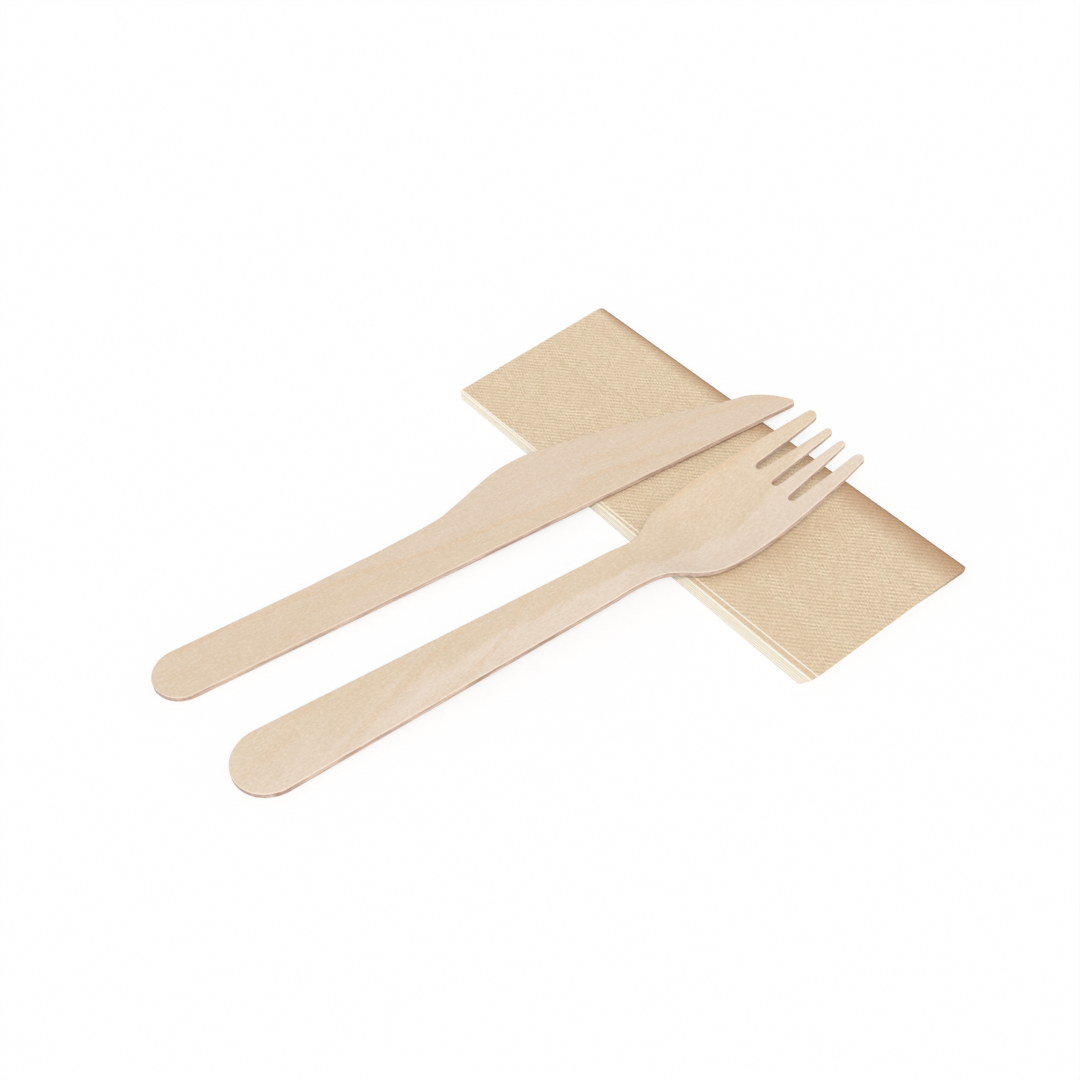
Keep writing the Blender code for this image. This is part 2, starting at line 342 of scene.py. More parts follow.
def woodenBlank(name, outline, growthRings, height, thickness):
    # height and thickness are read at a place along and across the piece
    points = spaced(outline, veneer["outlineStep"])
    normals = outwards(points)
    inset = veneer["edgeSupport"] + veneer["edgeRound"]
    inner = []
    for point, normal in zip(points, normals):
        back = noise.noise((*(point * veneer["tumbleScale"]), 0.0)) * 0.5 + 0.5
        inner.append(point - normal * (inset + veneer["tumble"] * back))
    model = gridFace(inner, veneer["gridStep"])
    cut = model.verts.layers.float.new("cut")
    edgeHighlight = model.verts.layers.float.new("edgeHighlight")
    endGrain = model.verts.layers.float.new("endGrain")
    faces = model.faces[:]
    rim = [edge for edge in model.edges if len(edge.link_faces) == 1]
    away = rimNormals(rim, inner, normals)
    lower = {}
    for vertex in model.verts[:]:
        lower[vertex] = model.verts.new(vertex.co)
    rings = [{vertex: vertex for vertex in away}]
    for out, share, down in edgeRings():
        ring = {}
        turned = max(out - veneer["edgeSupport"], 0.0) / veneer["edgeRound"]
        isCut = share == 0.5 or turned > veneer["cutFrom"]
        # The upper part of the rounded edge gets a painted highlight, where light would catch it
        isEdgeHighlight = veneer["edgeHighlightFrom"] < turned < veneer["cutFrom"]
        for vertex, normal in away.items():
            made = model.verts.new(vertex.co + normal * out)
            made.co.z = -share * thickness(made.co.x) - down
            made[cut] = 1.0 if isCut else 0.0
            made[edgeHighlight] = 1.0 if isEdgeHighlight else 0.0
            made[endGrain] = abs(normal.x)
            ring[vertex] = made
        rings.append(ring)
    rings.append({vertex: lower[vertex] for vertex in away})
    for face in faces:
        model.faces.new([lower[vertex] for vertex in reversed(face.verts[:])])
    for vertex in lower.values():
        vertex.co.z = -thickness(vertex.co.x)
    for edge in rim:
        a, b = edge.verts
        for upper, under in zip(rings, rings[1:]):
            model.faces.new([upper[a], upper[b], under[b], under[a]])
    markRings(model, growthRings)
    for vertex in model.verts:
        vertex.co.z += height(vertex.co.x, vertex.co.y)
    bmesh.ops.recalc_face_normals(model, faces=model.faces)
    mesh = bpy.data.meshes.new(name)
    model.to_mesh(mesh)
    model.free()
    mesh.shade_smooth()
    return mesh


def layDown(name, mesh, piece, tilt, finish):
    # Tilted on its handle end, so that the other end lies on the napkin
    turn = Matrix.Rotation(math.radians(piece["yaw"]), 4, "Z") @ Matrix.Rotation(-tilt, 4, "Y")
    mesh.transform(Matrix.Translation((*piece["place"], 0.0)) @ turn)
    return newPiece(name, mesh, finish)


# Finish of the birch

birch = {
    "orange": (222, 190, 152),
    "fleck": (208, 182, 154),
    "light": (238, 225, 211),
    "cutEdge": (220, 196, 180),
    "cutEdgeDark": (170, 141, 123),
    "endGrain": (182, 158, 146),
    "endGrainShare": 0.8,
    "blotchShare": 0.22,
    "edgeHighlightShare": 0.35,
    "figureGain": 3.2,
    "zoneSpread": 22.0,       # mm, by which the pale wood's edge softens at the handle's end
    "zoneByFigure": 2.5,      # mm, by which it wanders
    "zoneByFibres": 2.0,
    "ringByBlotches": 1.2,    # mm, by which a growth ring wanders
    "ringFalloff": 1.4,
    "roughness": 0.62,
    "fibreRoughness": 0.25,
    "cutRoughness": 0.15,
    "gloss": 0.35,
    "bump": 0.00003,
    "bumpShares": {"fibres": 0.5, "speckle": 0.4, "flecks": 0.3, "layers": 2.0},
    # Noises: waves to the millimetre along the grain and across it, detail, roughness,
    # distortion, and a factor that moves each away from the others
    "noises": {
        "figure": (0.055, 0.24, 4.0, 0.62, 0.6, 1.0),
        "blotches": (0.16, 0.30, 3.0, 0.6, 0.4, 1.3),
        "streaks": (0.050, 0.42, 3.0, 0.6, 0.5, 1.7),
        "speckle": (1.3, 2.2, 3.0, 0.7, 0.0, 2.3),
        "fibres": (0.30, 3.6, 3.0, 0.65, 0.0, 3.1),
        "flecks": (1.0, 4.5, 1.0, 0.5, 0.0, 4.3),
        "checks": (2.4, 0.10, 2.0, 0.6, 0.0, 2.9),
        "layers": (0.10, 1.6, 3.0, 0.7, 0.0, 5.1),
    },
    # Level and gain of those that show only above a level
    "levels": {
        "blotches": (0.46, 3.2),
        "streaks": (0.57, 5.0),
        "flecks": (0.66, 9.0),
        "layers": (0.42, 4.0),
    },
    # Tints, one over the other: noise, level, gain, tone and largest share
    "tints": (
        ("speckle", 0.5, 3.5, "light", 0.72),
        ("speckle", 0.5, -3.5, "fleck", 0.55),
        ("fibres", 0.5, 3.2, "fleck", 0.36),
        ("fibres", 0.5, -3.2, "light", 0.30),
        ("checks", 0.5, 2.4, "light", 0.20),
        ("flecks", 0.0, 1.0, "fleck", 0.30),
    ),
}


def birchNoises(tree, piece, local):
    shift = piece["noiseShift"]
    leaning = scaled(tree, local, (1, 1, 1), rotation=(0, 0, -math.radians(piece["figureLean"])))
    sources = {}
    for kind, settings in birch["noises"].items():
        along, over, detail, roughness, distortion, move = settings
        source = leaning if kind in ("figure", "blotches", "streaks") else local
        location = (shift * move, shift / move, shift)
        moved = scaled(tree, source, (along, over, over), location)
        sources[kind] = noiseOf(tree, moved, detail, roughness, distortion)
    for kind, (level, gain) in birch["levels"].items():
        sources[kind] = above(sources[kind], level, gain)
    sources["figure"] = ((sources["figure"] - 0.5) * birch["figureGain"] + 0.5).clamped()
    return sources


def makeBirch(name, piece, tilt):
    material, tree, shader = newFinish(name)
    place = addNode(tree, "ShaderNodeTexCoord", output=3)
    local = addNode(tree, "ShaderNodeMapping", {"vector_type": "TEXTURE"}, {
        "Vector": place, "Location": (*piece["place"], 0.0),
        "Rotation": (0.0, -tilt, math.radians(piece["yaw"])), "Scale": (mm, mm, mm)})
    sources = birchNoises(tree, piece, local)
    figure, blotches, fibres = sources["figure"], sources["blotches"], sources["fibres"]

    # Paler wood on one side of the first ring, less sharply towards the handle's end
    along = addNode(tree, "ShaderNodeSeparateXYZ", None, {0: local}, output=0)
    reach = piece["paleReach"] + (1 - along / piece["paleFrom"]).clamped() * birch["zoneSpread"]
    zone = attribute(tree, "ring0") * piece["paleSide"]
    zone = zone + (figure - 0.5) * birch["zoneByFigure"] + (fibres - 0.5) * birch["zoneByFibres"]
    zone = (zone / reach + 0.5).clamped()
    share = zone * piece["paleZone"] + figure * (1 - piece["paleZone"])
    color = tinted(tree, linear(*piece["tan"]), share, piece["pale"])
    color = tinted(tree, color, sources["streaks"] * piece["streaks"], birch["orange"])
    color = tinted(tree, color, blotches * birch["blotchShare"], piece["tan"])
    for i, ring in enumerate(piece["rings"]):
        away = attribute(tree, "ring" + str(i)) + (blotches - 0.4) * birch["ringByBlotches"]
        line = (1 - (away * away) ** 0.5 / ring["reach"]).clamped()
        color = tinted(tree, color, line ** birch["ringFalloff"] * ring["share"], birch["orange"])
    color = stained(tree, color, sources, birch["tints"], birch)
    # Painted highlight along the rounded upper edge
    color = tinted(tree, color, attribute(tree, "edgeHighlight") * birch["edgeHighlightShare"], birch["light"])

    # The cut edge shows the veneer's layers, and end grain where it runs across the wood
    cut = attribute(tree, "cut")
    edge = tinted(tree, linear(*birch["cutEdge"]), sources["layers"], birch["cutEdgeDark"])
    ends = attribute(tree, "endGrain") ** 2.0 * birch["endGrainShare"]
    edge = tinted(tree, edge, ends, birch["endGrain"])
    color = mixColors(tree, cut, color, edge)

    shares = birch["bumpShares"]
    relief = fibres * shares["fibres"] + sources["speckle"] * shares["speckle"]
    relief = relief + sources["flecks"] * shares["flecks"]
    relief = relief + cut * sources["layers"] * shares["layers"]
    bump = addNode(tree, "ShaderNodeBump", None,
                   {"Strength": 1.0, "Distance": birch["bump"], "Height": relief})
    roughness = birch["roughness"] + (fibres - 0.5) * birch["fibreRoughness"]
    feed(tree, shader, {
        "Base Color": color,
        "Roughness": roughness + cut * birch["cutRoughness"],
        "Normal": bump,
        "Specular IOR Level": birch["gloss"],
    })
    return material


# Knife

knife = {
    "length": 0.16575,
    "handleWidth": 0.0143,
    "bladeWidth": 0.0222,
    "shoulder": (0.040, 0.097),
    # Shares of the shoulder's run and of its rise: first slow, then steep
    "shoulderShape": ((0.0, 0.0), (0.16, 0.025), (0.32, 0.045), (0.42, 0.08), (0.53, 0.125),
                      (0.63, 0.20), (0.685, 0.32), (0.79, 0.575), (0.895, 0.84), (0.95, 0.94)),
    "bellyStart": 0.1055,
    "bellyPower": 1.3,
    "bellyStations": (0.0, 1 / 3, 2 / 3, 1.0),
    "tipStart": 0.1530,
    "tipWidth": 0.0101,
    "tipRadius": 0.0010,
    "tipTurn": 33,
    "tipTaper": 1.7,
    "tipFullness": 0.65,
    "tipStations": (0.3, 0.56, 0.78, 0.9),
    "teeth": (0.106, 0.152),
    "toothPitch": 0.0020,
    "toothDepth": 0.00025,
    "warp": 0.00010,
    "warpWaves": (22, 90),    # to the metre, along the knife and across it
    "warpMiddle": 0.6,
    "warpFullAt": 0.030,
    "place": (-0.1324, 0.02635),
    "yaw": -9.24,
    "pale": (224, 205, 186),
    "tan": (220, 199, 171),
    "paleSide": 1,            # the paler wood is on this side of the first ring
    "paleReach": 4.0,
    "paleFrom": 60.0,         # mm from the handle's end
    "paleZone": 0.45,
    "figureLean": -4.0,
    "noiseShift": 3.7,
    "streaks": 0.35,
    # Growth rings, in mm along the knife and across it
    "rings": (
        {"reach": 1.3, "share": 0.55, "line": (
            (0, 13.9), (15, 13.2), (31, 12.3), (48, 10.8), (60, 9.0), (72, 6.7), (85, 6.0),
            (98, 4.3), (104, 4.2), (114, 6.6), (122, 4.6), (132, 3.2), (139, 0.8), (150, -2.0))},
        {"reach": 1.6, "share": 0.30, "line": (
            (0, 40), (100, 30), (112, 21.5), (120, 18.6), (126, 16.0), (134, 15.0), (166, 13))},
        {"reach": 1.8, "share": 0.40, "line": (
            (0, -30), (100, -9), (112, 11.5), (120, 9.7), (128, 9.0), (142, 9.2), (155, 6.8),
            (166, 3.0))},
    ),
}


def tipArc():
    radius = knife["tipRadius"]
    return arc((knife["length"] - radius, radius), radius, -90, knife["tipTurn"], 16)


def bladeEdge():
    handle, blade = knife["handleWidth"], knife["bladeWidth"]
    start, end = knife["shoulder"]
    shoulder = end - start
    shape = [(start - shoulder / 4, handle)]
    shape += [(start + shoulder * along, handle + (blade - handle) * out)
              for along, out in knife["shoulderShape"]]
    shape.append((end, blade))
    belly = knife["tipStart"] - knife["bellyStart"]
    drop = blade - knife["tipWidth"]
    for share in knife["bellyStations"]:
        fall = drop * share ** knife["bellyPower"]
        shape.append((knife["bellyStart"] + belly * share, blade - fall))
    # The tip is near a quarter of an oval, from the belly down to the back
    reach = knife["length"] - knife["tipStart"]
    for share in knife["tipStations"]:
        fall = (1 - share ** knife["tipTaper"]) ** knife["tipFullness"]
        shape.append((knife["tipStart"] + reach * share, knife["tipWidth"] * fall))
    shape.append(tipArc()[-1])
    return smoothLine(shape)


def cutTeeth(edge):
    # Fine serrations along the belly, as shallow scallops
    start, end = knife["teeth"]
    toothed = []
    for along, out in edge:
        if start < along < end:
            turn = math.pi * (along - start) / knife["toothPitch"]
            out -= knife["toothDepth"] * abs(math.sin(turn))
        toothed.append((along, out))
    return toothed


def knifeOutline():
    radius = knife["handleWidth"] / 2
    outline = arc((radius, radius), radius, 90, 270, 48) + tipArc()
    return outline + cutTeeth(bladeEdge())[::-1][1:]


def makeKnife():
    def height(along, side):
        byLength, byWidth = knife["warpWaves"]
        swell = noise.noise((along * byLength, side * byWidth, 3.1)) - knife["warpMiddle"]
        return veneer["thickness"] + knife["warp"] * swell * ease(0.0, knife["warpFullAt"], along)

    def thickness(along):
        return veneer["thickness"]

    mesh = woodenBlank("knife_blank", knifeOutline(), knife["rings"], height, thickness)
    yaw = math.radians(knife["yaw"])
    reach = -napkin["width"] / 2 - knife["place"][0] + knife["bladeWidth"] * math.sin(yaw)
    seat = napkin["thickness"] + veneer["seatGap"]
    tilt = math.atan2(seat, reach / math.cos(yaw))
    finish = makeBirch("knife_birch", knife, tilt)
    made = layDown("knife_blank", mesh, knife, tilt, finish)
    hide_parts("knife")
    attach(made, "root")


# Fork

fork = {
    "length": 0.1572,
    "endWidth": 0.0180,
    "neckWidth": 0.0122,
    "neckAt": 0.0995,
    "headWidth": 0.0265,
    "headAt": 0.1265,
    # Shares of the way from the neck to the head, along and out
    "shoulderShape": ((0.16, 0.03), (0.30, 0.28), (0.44, 0.64), (0.62, 0.88)),
    "headPower": 1.5,         # how the head narrows from there to the outer tine's tip
    "headStations": (0.4, 0.75),
    "outerTip": (0.0089, 0.0031),     # side and width
    "innerTip": (0.0025, 0.0021),
    "innerTipBack": 0.0003,
    "tineThickness": 0.0011,
    "slotSide": 0.0063,
    "slotWidth": 0.0020,
    "slotDepth": 0.0187,
    "bowlStart": 0.0950,
    "bowlAt": 0.1170,
    "bowlDip": 0.0027,
    "tipRise": 0.0060,
    "risePower": 1.27,
    "seatSteps": 60,
    "dishStart": 0.088,
    "dishFullAt": 0.1135,
    "neckDish": 0.0003,
    "bowlDish": 0.0014,
    "tipDish": 0.0006,
    "place": (-0.1318, 0.0003),
    "yaw": -8.09,
    "pale": (231, 215, 199),
    "tan": (220, 200, 171),
    "paleSide": -1,
    "paleReach": 1.6,
    "paleFrom": 62.0,
    "paleZone": 0.70,
    "figureLean": 19.0,
    "noiseShift": 11.3,
    "streaks": 0.40,
    "rings": (
        {"reach": 0.8, "share": 0.05, "line": (
            (0, 2.0), (14, -1.0), (28, -1.0), (42, 0.0), (52, -0.8), (75, -0.6), (100, -0.6),
            (106, -1.8), (113, -3.0), (125, -4.3), (134, -2.2), (140, 0.6), (150, 2.6),
            (160, 3.6))},
        {"reach": 1.6, "share": 0.28, "line": (
            (0, -2.0), (6, 1.0), (14, 4.0), (24, 8.3), (30, 12))},
        {"reach": 1.8, "share": 0.34, "line": (
            (0, -22), (18, -10.0), (26, -6.2), (33, -3.2), (40, -0.8), (47, 2.0), (53, 3.6),
            (62, 7.0), (70, 12))},
        {"reach": 1.6, "share": 0.30, "line": (
            (0, -20), (60, -4.0), (67, -0.6), (71, 2.4), (76, 5.2), (82, 8.0), (90, 12))},
    ),
}


def forkEdge():
    # Half the width along the rim, from the neck to the outer tine
    neck, head = fork["neckWidth"] / 2, fork["headWidth"] / 2
    side, width = fork["outerTip"]
    tine = side + width / 2
    span = fork["headAt"] - fork["neckAt"]
    shape = [(fork["neckAt"], neck)]
    shape += [(fork["neckAt"] + span * along, neck + (head - neck) * out)
              for along, out in fork["shoulderShape"]]
    shape.append((fork["headAt"], head))
    rest = fork["length"] - width / 2 - fork["headAt"]
    for share in fork["headStations"]:
        narrowed = (head - tine) * share ** fork["headPower"]
        shape.append((fork["headAt"] + rest * share, head - narrowed))
    shape.append((fork["headAt"] + rest, tine))
    return smoothLine(shape)


def forkTines():
    outerSide, outerWidth = fork["outerTip"]
    innerSide, innerWidth = fork["innerTip"]
    outer, inner, slot = outerWidth / 2, innerWidth / 2, fork["slotWidth"] / 2
    slotAt = fork["length"] - fork["slotDepth"] + slot
    line = arc((fork["length"] - outer, outerSide), outer, 90, -90, 20)
    line += arc((slotAt, fork["slotSide"]), slot, 90, 270, 20)
    tipAt = fork["length"] - fork["innerTipBack"] - inner
    line += arc((tipAt, innerSide), inner, 90, -90, 20)
    return line + arc((slotAt, 0), slot, 90, 180, 10)


def forkOutline(edge):
    radius = fork["endWidth"] / 2
    half = arc((radius, 0), radius, 180, 90, 30) + edge[:-1] + forkTines()
    return half + [(a, -b) for a, b in half[-2:0:-1]]


def forkHeight(edge, along, side):
    # Over the flat handle: the head dips into a bowl, then the tines turn up
    centre = -fork["bowlDip"] * ease(fork["bowlStart"], fork["bowlAt"], along)
    if along > fork["bowlAt"]:
        share = (along - fork["bowlAt"]) / (fork["length"] - fork["bowlAt"])
        centre += (fork["bowlDip"] + fork["tipRise"]) * share ** fork["risePower"]
    dish = fork["neckDish"] * ease(fork["dishStart"], fork["neckAt"], along)
    dish += (fork["bowlDish"] - fork["neckDish"]) * ease(fork["neckAt"], fork["dishFullAt"], along)
    dish += (fork["tipDish"] - fork["bowlDish"]) * ease(fork["headAt"], fork["length"], along)
    return centre + dish * (side / across(edge, along)) ** 2


def tineThickness(along):
    thinner = ease(fork["length"] - fork["slotDepth"], fork["length"], along)
    return veneer["thickness"] - (veneer["thickness"] - fork["tineThickness"]) * thinner


def makeFork():
    edge = forkEdge()

    def height(along, side):
        return veneer["thickness"] + forkHeight(edge, along, side)

    mesh = woodenBlank("fork_blank", forkOutline(edge), fork["rings"], height, tineThickness)
    start = (-napkin["width"] / 2 - fork["place"][0]) / math.cos(math.radians(fork["yaw"]))
    seat = napkin["thickness"] + veneer["seatGap"]
    count = fork["seatSteps"]
    steps = [start + (fork["length"] - start) * i / count for i in range(count + 1)]
    tilt = max(math.atan2(seat - forkHeight(edge, at, 0), at) for at in steps)
    finish = makeBirch("fork_birch", fork, tilt)
    made = layDown("fork_blank", mesh, fork, tilt, finish)
    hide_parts("fork")
    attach(made, "root")


# Napkin

sheetSide = 0.375
napkin = {
    "width": sheetSide / 8,
    "length": sheetSide / 3,
    "thickness": 0.00199,
    "wraps": 6,               # leaf pairs that lie in each other at the fold
    "leaf": 0.000158,
    "leafSlope": 0.3,         # share of its thickness by which a leaf's cut edge slopes
    "foldDepth": 0.0022,
    "foldUndercut": 0.0012,
    "foldNose": 0.00084,
    "foldStack": 1.2,         # how far a fold lies inside the outer one, as a share of its depth
    "columnStep": 0.00021,    # of the embossed face
    "rowStep": 0.00040,
    "foldColumns": 24,
    "plainColumns": 10,
    "plainFoldColumns": 12,
    "plainRows": 70,
    "fanUpper": 0.0016,       # how far the second leaf comes out at the -Y end
    "fanLower": 0.0015,       # and how far the rest spread below it
    "fanFar": 0.22,           # share of both at the +Y end
    "fanUpperFrom": 0.05,     # share of the napkin's length, from the +Y end
    "fanLowerPower": 0.75,
    "fanWander": 0.00006,
    "nearSetback": 0.0025,    # how much shorter the lowest leaf is at the -Y end
    "foldSetback": 0.2,       # share of that at the fold
    "farSetback": 0.0008,
    "cornerRound": (0.0008, 0.0002),     # at the -Y end and at the +Y end
    "rim": 0.00040,           # pale strip along each cut edge
    "rimColumns": (0.0, 0.4, 0.8, 1.2),
    "leafTones": (0.15, 0.85),           # of the even and of the odd leaves' edges, 1 is dark, partly painted shade between the stepped leaves
    "sharpFrom": 50,          # degrees
}

embossed = {
    "rows": (0.732, 0.586),   # waves to the millimetre, across the napkin and along it
    "dashes": (1.396, -0.596),
    "rowHeight": 0.000030,
    "dashHeight": 0.000022,
    # Waves to the millimetre, size and place of the noises that make it uneven
    "drift": (0.16, 0.25, 1.7),
    "slip": (0.55, 0.22, 4.4),
    "depth": (0.30, 0.9, 8.2),
    "breaks": (0.45, 1.6, 5.9),
    "rowSlip": 0.5,
    "dashSlip": 1.6,
    "dashesUnbroken": 0.7,
    "endFade": 0.0008,
    "openFade": 0.0006,
    "foldFade": 0.6,
    "tone": 0.5,              # how dark a groove's painted shade is, from 0 to 1
    "rowTone": 0.36,
    "dashTone": 0.20,
    "plainTone": 0.55,
}


def leafOut(order, share):
    # How far a leaf's open edge comes out; order counts down from the top leaf
    if order == 0:
        return 0.0
    last = 2 * napkin["wraps"] - 1
    far = napkin["fanFar"]
    upper = far + (1 - far) * ease(napkin["fanUpperFrom"], 1.0, share)
    lower = far + (1 - far) * share ** napkin["fanLowerPower"]
    spread = napkin["fanLower"] * lower * (order - 1) / (last - 1)
    wander = napkin["fanWander"] * noise.noise((order * 3.7, share * 5.0, 0.5))
    return napkin["fanUpper"] * upper + spread + wander


def leafTone(order):
    # The two uppermost edges are the whitest, and the others are pale and darker in turn: partly
    # their own tone, partly painted shade in the gaps between the stepped leaves
    return 0.0 if order < 2 else napkin["leafTones"][order % 2]


def foldLine(depth, count):
    # Over the fold at one depth below the outer face, as (x, z), from the upper face to the lower
    nose = napkin["foldNose"]
    inside = depth * napkin["foldStack"]
    fold = napkin["width"] / 2 - inside
    top = napkin["thickness"] - depth
    line = []
    for i in range(count + 1):
        turn = math.pi / 2 * i / count
        reach = napkin["foldDepth"] - inside
        line.append((fold - reach * (1 - math.sin(turn)), nose + (top - nose) * math.cos(turn)))
    for i in range(1, count // 2 + 1):
        turn = math.pi / 2 * i / (count // 2)
        reach = napkin["foldUndercut"]
        line.append((fold - reach * (1 - math.cos(turn)), nose - (nose - depth) * math.sin(turn)))
    return line


def edgeShares(columns, width):
    # Shares along a face that crowd near its open edge, so that the pale rim shows
    crowded = [napkin["rim"] / width * column for column in napkin["rimColumns"]]
    last = crowded[-1]
    return crowded + [last + (1 - last) * i / columns for i in range(1, columns)]


def uneven(kind, east, north):
    waves, size, place = embossed[kind]
    return size * noise.noise((east * waves, north * waves, place))


def embossing(x, y):
    # Height of the pressed rows, about -1 to 1, and of the dashes across them
    east, north = x / mm, y / mm
    drift = uneven("drift", east, north)
    slip = uneven("slip", east, north)
    rows = embossed["rows"][0] * east + embossed["rows"][1] * north
    rows += drift + slip * embossed["rowSlip"]
    dashes = embossed["dashes"][0] * east + embossed["dashes"][1] * north
    dashes += drift + slip * embossed["dashSlip"]
    depth = 1.0 + uneven("depth", east, north)
    broken = max(0.0, embossed["dashesUnbroken"] + uneven("breaks", east, north))
    return depth * math.cos(2 * math.pi * rows), depth * broken * math.cos(2 * math.pi * dashes)


def leafSection(level, shares, foldColumns):
    # Along one side of a leaf pair, from open edge to open edge: (kind, share or x, z)
    plain = edgeShares(napkin["plainColumns"], napkin["width"] - napkin["foldDepth"])
    section = [("upper", share, napkin["thickness"] - level) for share in shares or plain]
    section += [("fold", x, z) for x, z in foldLine(level, foldColumns)]
    return section + [("lower", share, level) for share in plain[::-1]]


def wrapMesh(wrap, model, layers):
    # A leaf pair: its upper and lower leaf and the fold between them, as one closed strip
    embossedLeaf = wrap == 0
    depth = napkin["thickness"] / (2 * napkin["wraps"]) * wrap
    width = napkin["width"] - napkin["foldDepth"]
    foldStart = napkin["width"] / 2 - napkin["foldDepth"]
    orders = {"upper": wrap, "lower": 2 * napkin["wraps"] - 1 - wrap}
    tones = {kind: leafTone(order) for kind, order in orders.items()}
    tones["fold"] = tones["upper"]
    shares, rows, foldColumns = None, napkin["plainRows"], napkin["plainFoldColumns"]
    if embossedLeaf:
        columns = round(width / napkin["columnStep"])
        shares = [i / columns for i in range(columns)]
        rows = round(napkin["length"] / napkin["rowStep"])
        foldColumns = napkin["foldColumns"]
    outer = leafSection(depth, shares, foldColumns)
    inner = leafSection(depth + napkin["leaf"], None, napkin["plainFoldColumns"])
    loop = [(*point, True) for point in outer] + [(*point, False) for point in inner[::-1]]
    half = napkin["length"] / 2
    rim, grooveShade, tone = layers
    grid = []
    for row in range(rows + 1):
        along = row / rows
        line = []
        for kind, place, z, outside in loop:
            down = (napkin["thickness"] - z) / napkin["thickness"]
            fromFold = 0.0 if kind == "fold" else 1 - place
            kept = napkin["foldSetback"] + (1 - napkin["foldSetback"]) * fromFold
            low = -half + napkin["nearSetback"] * down * kept
            high = half - napkin["farSetback"] * down * fromFold
            y = low + (high - low) * along
            if kind == "fold":
                x = place
            else:
                openEdge = -napkin["width"] / 2 - leafOut(orders[kind], 0.5 - y / (2 * half))
                x = openEdge + (foldStart - openEdge) * place
                if not outside:
                    x += napkin["leaf"] * napkin["leafSlope"] * (1 - place)
            ending = min(y - low, high - y)
            bend = ease(foldStart, napkin["width"] / 2, x)
            radius = napkin["cornerRound"][0 if y < 0 else 1]
            if ending < radius:
                over = math.sqrt(max(radius ** 2 - (radius - ending) ** 2, 0.0))
                x -= bend * (radius - over)
            pressed = embossed["plainTone"]
            if outside and embossedLeaf and kind != "lower":
                rowWave, dashWave = embossing(x, y)
                fromOpen = (x + napkin["width"] / 2) / embossed["openFade"]
                fade = min(ending / embossed["endFade"], fromOpen, z / napkin["foldNose"], 1.0)
                lift = embossed["rowHeight"] * rowWave + embossed["dashHeight"] * dashWave
                z += lift * fade * (1 - bend * embossed["foldFade"])
                # Painted shade in the embossed grooves and painted light on the ridges, kept as
                # the vertex's groove value
                pressed = embossed["tone"] - embossed["rowTone"] * rowWave
                pressed -= embossed["dashTone"] * dashWave
            vertex = model.verts.new((x, y, z))
            vertex[rim] = 0.0
            if kind != "fold":
                vertex[rim] = 1 - ease(0.5, 1.0, place * width / napkin["rim"])
            vertex[grooveShade] = pressed
            vertex[tone] = tones[kind]
            line.append(vertex)
        grid.append(line)
    count = len(loop)
    for lower, upper in zip(grid, grid[1:]):
        for i in range(count):
            j = (i + 1) % count
            model.faces.new((lower[i], lower[j], upper[j], upper[i]))
    model.faces.new(grid[0][::-1])
    model.faces.new(grid[-1])


def makeLeaves(name, wraps, finish):
    model = bmesh.new()
    layers = [model.verts.layers.float.new(layer) for layer in ("rim", "grooveShade", "tone")]
    for wrap in wraps:
        wrapMesh(wrap, model, layers)
    bmesh.ops.recalc_face_normals(model, faces=model.faces)
    mesh = bpy.data.meshes.new(name)
    model.to_mesh(mesh)
    model.free()
    mesh.shade_smooth()
    mesh.set_sharp_from_angle(angle=math.radians(napkin["sharpFrom"]))
    made = newPiece(name, mesh, finish)
    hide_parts("napkin")
    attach(made, "root")


# Finish of the paper

paper = {
    # The paper's colour runs from painted light on the embossed ridges to painted shade in the
    # grooves
    "ridgeLight": (244, 228, 202),
    "grooveShade": (198, 172, 139),
    "tan": (221, 194, 163),
    "cream": (226, 213, 184),
    "rosy": (233, 200, 168),
    "straw": (220, 209, 180),
    "rim": (250, 246, 236),
    "rimDark": (226, 217, 196),
    # Brown of the fold, partly the paper's own and partly painted shade where it turns away from
    # the light
    "foldBrownAndShade": (174, 126, 84),
    "foldNoseShade": (118, 82, 54),
    "foldReach": (0.0028, 0.0090),     # at the +Y end and at the -Y end
    "foldMottle": (0.55, 0.9),         # least share of that reach, and what the mottle adds
    "foldShare": 0.8,
    "foldNoseShadeReach": 0.90,    # mm, width of the painted shade line at the fold's nose
    "fibreGroove": 2.3,
    "roughness": 0.92,
    "fibreRoughness": 0.1,
    "gloss": 0.2,
    "bump": 0.00002,
    # Noises: waves to the millimetre in x, y and z, place, detail and roughness. Bands and
    # creases run along the napkin.
    "noises": {
        "mottle": ((0.10, 0.10, 0.10), (0.0, 0.0, 0.0), 3.0, 0.6),
        "tint": ((0.34, 0.34, 0.34), (7.0, 3.0, 0.0), 3.0, 0.7),
        "fibres": ((2.3, 2.3, 2.3), (0.0, 0.0, 0.0), 3.0, 0.7),
        "specks": ((3.1, 3.1, 3.1), (2.0, 8.0, 5.0), 1.0, 0.5),
        "bands": ((0.16, 0.012, 0.1), (4.0, 0.0, 0.0), 2.0, 0.5),
        "creases": ((0.9, 0.012, 0.1), (9.0, 1.0, 0.0), 2.0, 0.6),
    },
    # Tints, one over the other: noise, level, gain, tone and largest share
    "tints": (
        ("specks", 0.53, 6.0, "rosy", 0.50),
        ("specks", 0.47, -6.0, "straw", 0.45),
        ("tint", 0.5, 3.0, "tan", 0.50),
        ("tint", 0.5, -3.0, "cream", 0.50),
        ("bands", 0.48, 4.0, "tan", 0.35),
        # Painted shade of fine creases running along the napkin
        ("creases", 0.60, 6.0, "grooveShade", 0.30),
    ),
}


